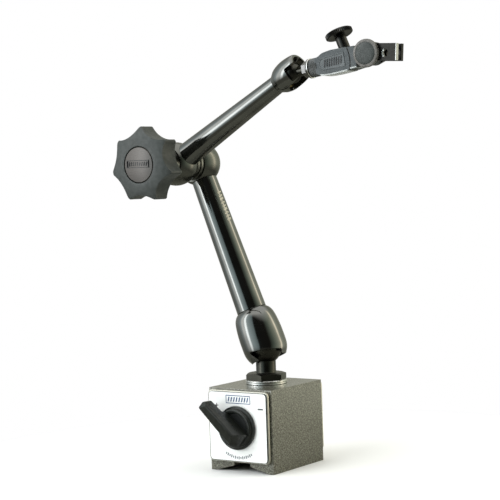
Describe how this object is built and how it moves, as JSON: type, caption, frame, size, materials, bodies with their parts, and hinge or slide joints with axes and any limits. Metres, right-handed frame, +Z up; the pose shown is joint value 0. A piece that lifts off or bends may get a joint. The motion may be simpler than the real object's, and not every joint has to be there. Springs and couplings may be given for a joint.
{
  "type": "articulated indicator holder",
  "caption": "Indicator holder: two jointed arms locked by one elbow knob, on a switchable magnetic base, with a fine-adjustment head and dovetail clamp.",
  "frame": {"origin": "centre of the bounding box's footprint, on the surface that the base stands on", "axes": "+Z up, +X to the right along the base's front, -Y out of the base's front"},
  "size_m": [0.1989, 0.0959, 0.2854],
  "materials": {
    "hammered_paint": "hammertone enamel",
    "bare_steel": "machined",
    "brass": "machined",
    "cast_plate": "die cast, cream edge",
    "label": "satin white print",
    "black_plastic": "fine texture",
    "magnet": "dull",
    "chrome": "bright",
    "black_chrome": "bright black",
    "grey_plastic": "satin",
    "satin_cap": "turned satin",
    "head_grey": "satin grey",
    "black_oxide": "black oxide",
    "spring_steel": "drawn"
  },
  "bodies": {
    "base": {"pole_block_left": "hammered_paint", "pole_block_right": "hammered_paint", "spacer_top": "brass", "spacer_bottom": "brass", "front_plate": "cast_plate", "front_label": "label", "rear_plate": "cast_plate", "plate_screw_1": "bare_steel", "plate_screw_2": "bare_steel", "plate_screw_3": "bare_steel", "plate_screw_4": "bare_steel", "plate_screw_5": "bare_steel", "plate_screw_6": "bare_steel", "plate_screw_7": "bare_steel", "plate_screw_8": "bare_steel", "base_washer": "chrome"},
    "switch": {"switch_knob": "black_plastic", "rotor_spindle": "brass", "rotor_magnet": "magnet", "rotor_shoe_left": "bare_steel", "rotor_shoe_right": "bare_steel", "rotor_end": "brass"},
    "base_stud": {"base_ball_stud": "black_chrome"},
    "lower_barrel": {"lower_socket": "black_chrome", "lower_seat": "brass"},
    "lower_arm": {"lower_tube": "black_chrome", "elbow_rear_head": "black_chrome", "elbow_ring_rear": "black_chrome"},
    "lower_rod": {"lower_push_rod": "bare_steel"},
    "lock_bolt": {"elbow_bolt": "black_chrome"},
    "lock_knob": {"elbow_knob": "grey_plastic", "elbow_knob_cap": "satin_cap"},
    "upper_arm": {"elbow_front_head": "black_chrome", "elbow_ring_front": "black_chrome", "elbow_collar": "black_chrome", "upper_tube": "black_chrome"},
    "upper_rod": {"upper_push_rod": "bare_steel"},
    "upper_barrel": {"upper_socket": "black_chrome", "upper_seat": "brass"},
    "top_stud": {"top_ball_stud": "bare_steel", "head_ring": "chrome"},
    "head": {"head_body": "head_grey", "head_pin": "bare_steel", "return_spring": "spring_steel"},
    "lever": {"fine_lever": "head_grey"},
    "screw": {"fine_screw": "black_oxide", "fine_screw_wheel": "black_oxide"},
    "clamp": {"clamp_front_jaw": "black_oxide", "clamp_rear_jaw": "black_oxide", "clamp_bolt": "black_oxide"},
    "clamp_nut": {"clamp_knob": "grey_plastic"}
  },
  "joints": [
    {"name": "switch_turn", "type": "hinge", "parent": "base", "child": "switch", "pos_m": [-0.02485, -0.019, 0.0299], "axis": [0, 1, 0], "range_deg": [0, 90]},
    {"name": "stud_swivel", "type": "hinge", "parent": "base", "child": "base_stud", "pos_m": [-0.02485, 0.0162, 0.079], "axis": [0, 0, 1], "range_deg": [-180, 180]},
    {"name": "lower_tilt", "type": "hinge", "parent": "base_stud", "child": "lower_barrel", "pos_m": [-0.02485, 0.0162, 0.079], "axis": [0, 1, 0], "range_deg": [-67.9, 40]},
    {"name": "lower_roll", "type": "hinge", "parent": "lower_barrel", "child": "lower_arm", "pos_m": [-0.02485, 0.0162, 0.079], "axis": [-0.3762, 0, 0.9265], "range_deg": [-90, 90]},
    {"name": "knob_turn", "type": "hinge", "parent": "lower_arm", "child": "lock_knob", "pos_m": [-0.07549, -0.042, 0.20371], "axis": [0, 1, 0], "range_deg": [0, 180]},
    {"name": "bolt_pull", "type": "slide", "parent": "lower_arm", "child": "lock_bolt", "axis": [0, -1, 0], "range_m": [0, 0.0002]},
    {"name": "lower_rod_push", "type": "slide", "parent": "lower_arm", "child": "lower_rod", "axis": [0.3762, 0, -0.9265], "range_m": [0, 0.0002]},
    {"name": "elbow_fold", "type": "hinge", "parent": "lower_arm", "child": "upper_arm", "pos_m": [-0.07549, -0.0088, 0.20371], "axis": [0, 1, 0], "range_deg": [-200, 80]},
    {"name": "upper_rod_push", "type": "slide", "parent": "upper_arm", "child": "upper_rod", "axis": [0.866, 0, 0.5], "range_m": [0, 0.0002]},
    {"name": "upper_roll", "type": "hinge", "parent": "upper_arm", "child": "upper_barrel", "pos_m": [0.01943, -0.0088, 0.25851], "axis": [0.866, 0, 0.5], "range_deg": [-180, 180]},
    {"name": "upper_tilt", "type": "hinge", "parent": "upper_barrel", "child": "top_stud", "pos_m": [0.01943, -0.0088, 0.25851], "axis": [0, 1, 0], "range_deg": [-35, 67]},
    {"name": "head_spin", "type": "hinge", "parent": "top_stud", "child": "head", "pos_m": [0.01943, -0.0088, 0.25851], "axis": [0.9907, 0, 0.1357], "range_deg": [-180, 180]},
    {"name": "fine_tilt", "type": "hinge", "parent": "head", "child": "lever", "pos_m": [0.04469, -0.0088, 0.26197], "axis": [0, 1, 0], "range_deg": [-1, 2.6], "deforming": ["return_spring"]},
    {"name": "fine_turn", "type": "hinge", "parent": "head", "child": "screw", "pos_m": [0.05954, -0.0088, 0.27147], "axis": [-0.3827, 0, 0.9239], "range_deg": [-240, 95]},
    {"name": "clamp_swivel", "type": "hinge", "parent": "lever", "child": "clamp", "pos_m": [0.07884, -0.0088, 0.26685], "axis": [0, 1, 0], "range_deg": [-90, 90]},
    {"name": "clamp_knob_turn", "type": "hinge", "parent": "clamp", "child": "clamp_nut", "pos_m": [0.07884, -0.0088, 0.26685], "axis": [0, 1, 0], "range_deg": [0, 180]}
  ],
  "couplings": [
    {"joint": "bolt_pull", "follows": "knob_turn", "m_per_rad": 0.000063662},
    {"joint": "lower_rod_push", "follows": "knob_turn", "m_per_rad": 0.000063662},
    {"joint": "upper_rod_push", "follows": "knob_turn", "m_per_rad": 0.000063662},
    {"joint": "fine_turn", "follows": "fine_tilt", "ratio": -90}
  ]
}
